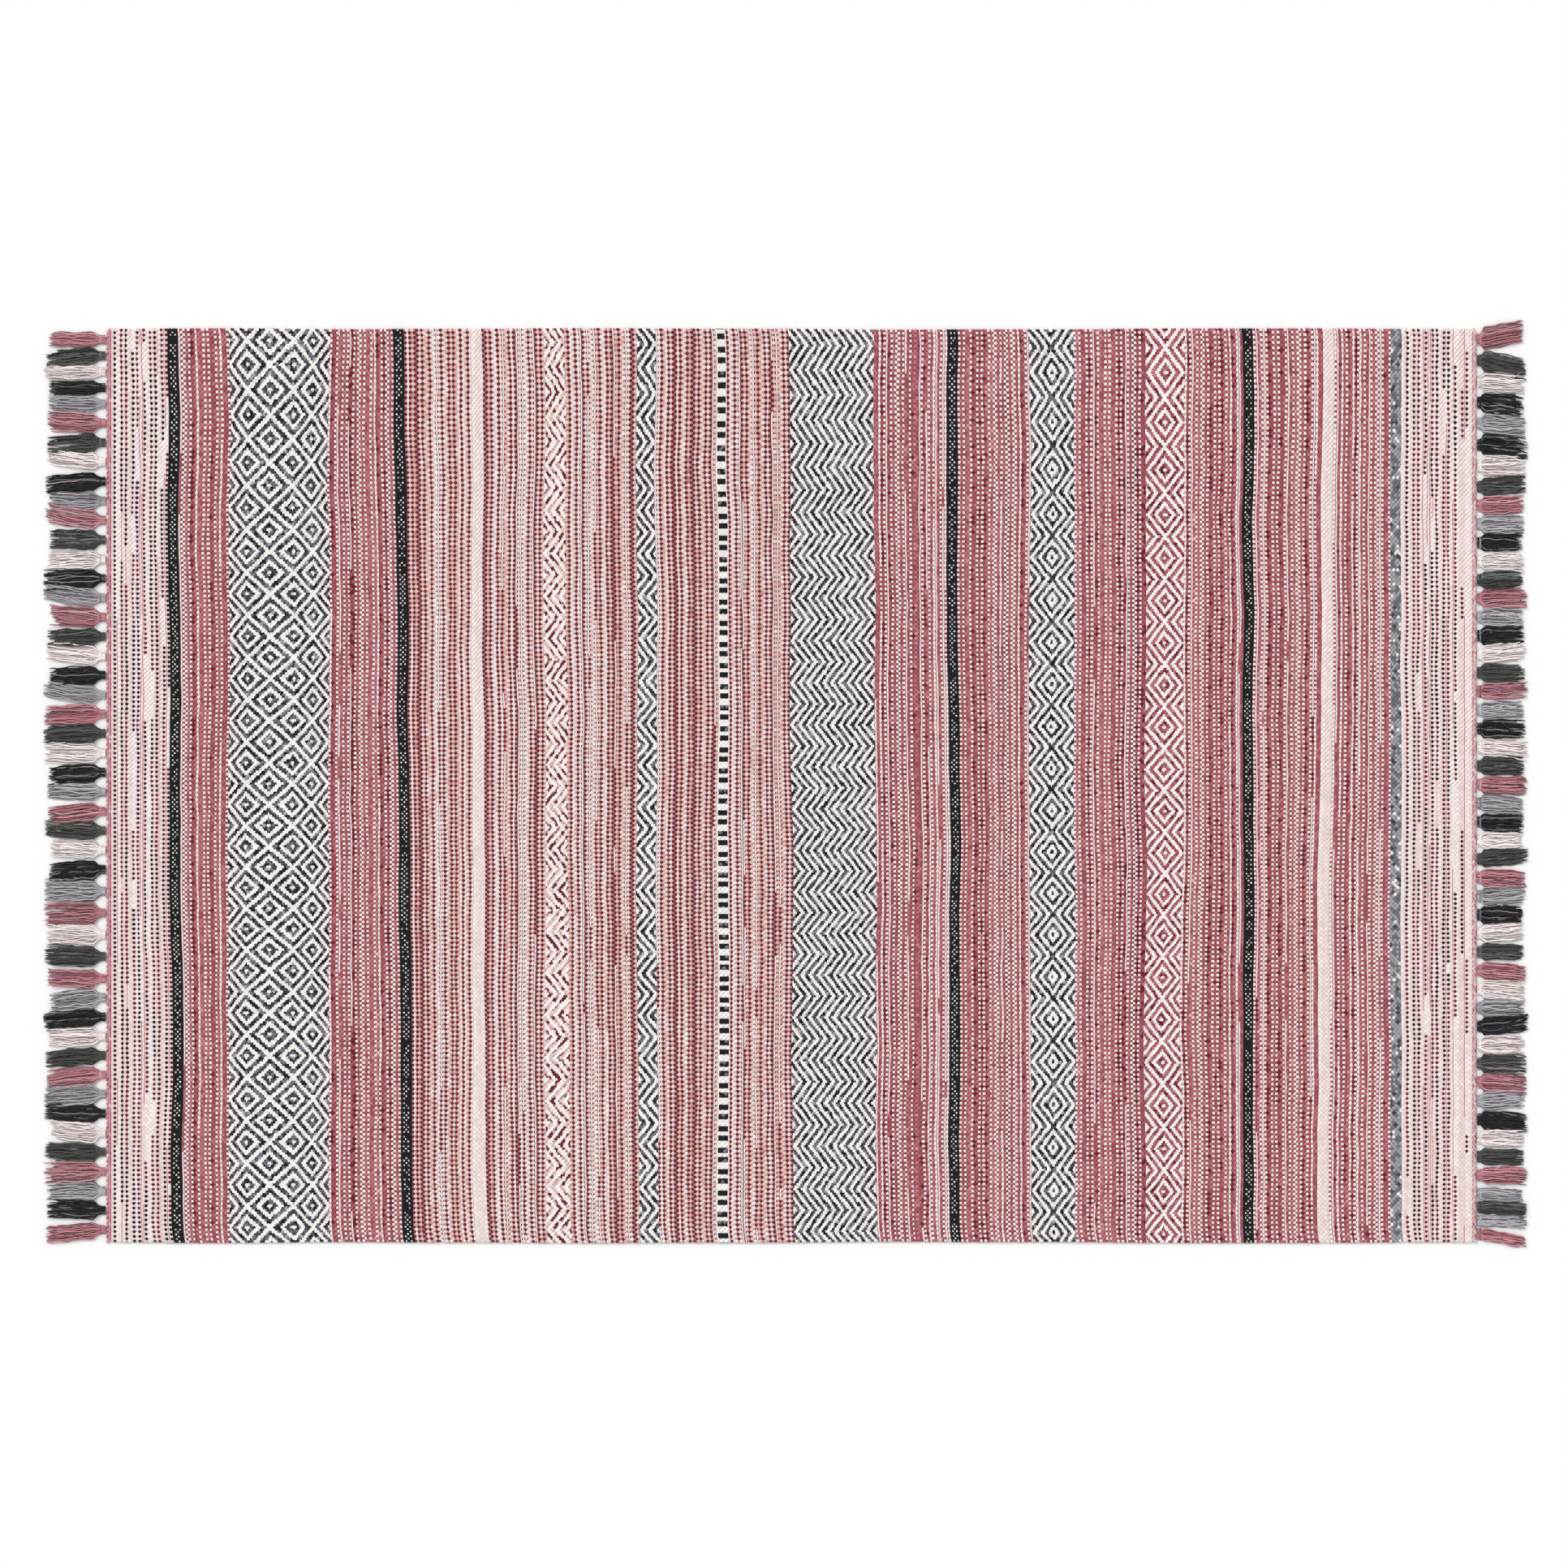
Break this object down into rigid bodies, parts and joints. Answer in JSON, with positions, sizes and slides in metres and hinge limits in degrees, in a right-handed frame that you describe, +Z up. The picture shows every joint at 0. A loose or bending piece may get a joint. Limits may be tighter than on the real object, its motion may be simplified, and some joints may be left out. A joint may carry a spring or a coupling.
{
  "type": "flat-woven rug",
  "caption": "Flat-woven striped cotton rug in rose, pink, grey and black, with diamond, zigzag and chevron figures and a tasselled fringe hinged at each end.",
  "frame": {"origin": "on the floor, at the middle of the woven cloth's underside", "axes": "+X along the rug towards its right-hand fringe, +Y across it towards its top selvedge, +Z up out of the face"},
  "size_m": [1.9496, 1.2, 0.005],
  "materials": {
    "warp_cotton": "undyed twisted cotton thread",
    "hem_yarn": "rose cotton yarn, knotted",
    "pale_field_weft": "pale pink cotton weft with dark maroon dashes",
    "black_weft": "matt black cotton weft",
    "rose_weft": "rose cotton weft with pale flecks",
    "grey_white_figured_weft": "grey and white cotton weft figure",
    "pink_mix_weft": "pink, maroon and cream cotton weft",
    "pale_weft": "cream cotton weft",
    "pink_zigzag_weft": "pink cotton weft with a white zigzag",
    "black_white_ladder_weft": "white cotton weft with black rungs",
    "rose_white_figured_weft": "rose and white cotton weft figure",
    "mid_grey_weft": "grey cotton weft",
    "rose_yarn": "soft rose cotton yarn",
    "charcoal_yarn": "soft charcoal cotton yarn",
    "pale_yarn": "soft pale pink cotton yarn",
    "black_yarn": "soft black cotton yarn",
    "grey_yarn": "soft light grey cotton yarn"
  },
  "bodies": {
    "woven_cloth": {"warp_threads": "warp_cotton", "left_hem": "hem_yarn", "right_hem": "hem_yarn", "stripe_01_pale_dashed": "pale_field_weft", "stripe_02_black": "black_weft", "stripe_03_rose": "rose_weft", "stripe_04_grey_diamond_lattice": "grey_white_figured_weft", "stripe_05_rose": "rose_weft", "stripe_06_black": "black_weft", "stripe_07_pink_mix": "pink_mix_weft", "stripe_08_pale": "pale_weft", "stripe_09_pink_mix": "pink_mix_weft", "stripe_10_pink_zigzag": "pink_zigzag_weft", "stripe_11_pink_mix": "pink_mix_weft", "stripe_12_grey_zigzag": "grey_white_figured_weft", "stripe_13_pink_mix": "pink_mix_weft", "stripe_14_black_ladder": "black_white_ladder_weft", "stripe_15_pink_mix": "pink_mix_weft", "stripe_16_grey_chevron": "grey_white_figured_weft", "stripe_17_rose": "rose_weft", "stripe_18_black": "black_weft", "stripe_19_rose": "rose_weft", "stripe_20_grey_diamond_row": "grey_white_figured_weft", "stripe_21_rose": "rose_weft", "stripe_22_rose_diamond_row": "rose_white_figured_weft", "stripe_23_rose": "rose_weft", "stripe_24_black": "black_weft", "stripe_25_rose": "rose_weft", "stripe_26_pale": "pale_weft", "stripe_27_rose": "rose_weft", "stripe_28_grey": "mid_grey_weft", "stripe_29_pale_dashed": "pale_field_weft"},
    "left_fringe": {"left_rose_tassels": "rose_yarn", "left_rose_neck_ties": "rose_yarn", "left_charcoal_tassels": "charcoal_yarn", "left_charcoal_neck_ties": "charcoal_yarn", "left_pale_tassels": "pale_yarn", "left_pale_neck_ties": "pale_yarn", "left_black_tassels": "black_yarn", "left_black_neck_ties": "black_yarn", "left_grey_tassels": "grey_yarn", "left_grey_neck_ties": "grey_yarn"},
    "right_fringe": {"right_rose_tassels": "rose_yarn", "right_rose_neck_ties": "rose_yarn", "right_charcoal_tassels": "charcoal_yarn", "right_charcoal_neck_ties": "charcoal_yarn", "right_pale_tassels": "pale_yarn", "right_pale_neck_ties": "pale_yarn", "right_black_tassels": "black_yarn", "right_black_neck_ties": "black_yarn", "right_grey_tassels": "grey_yarn", "right_grey_neck_ties": "grey_yarn"}
  },
  "joints": [
    {"name": "left_fringe_fold", "type": "hinge", "parent": "woven_cloth", "child": "left_fringe", "pos_m": [-0.9023, 0, 0.0025], "axis": [0, 1, 0], "range_deg": [-100, 100]},
    {"name": "right_fringe_fold", "type": "hinge", "parent": "woven_cloth", "child": "right_fringe", "pos_m": [0.9023, 0, 0.0025], "axis": [0, -1, 0], "range_deg": [-100, 100]}
  ]
}
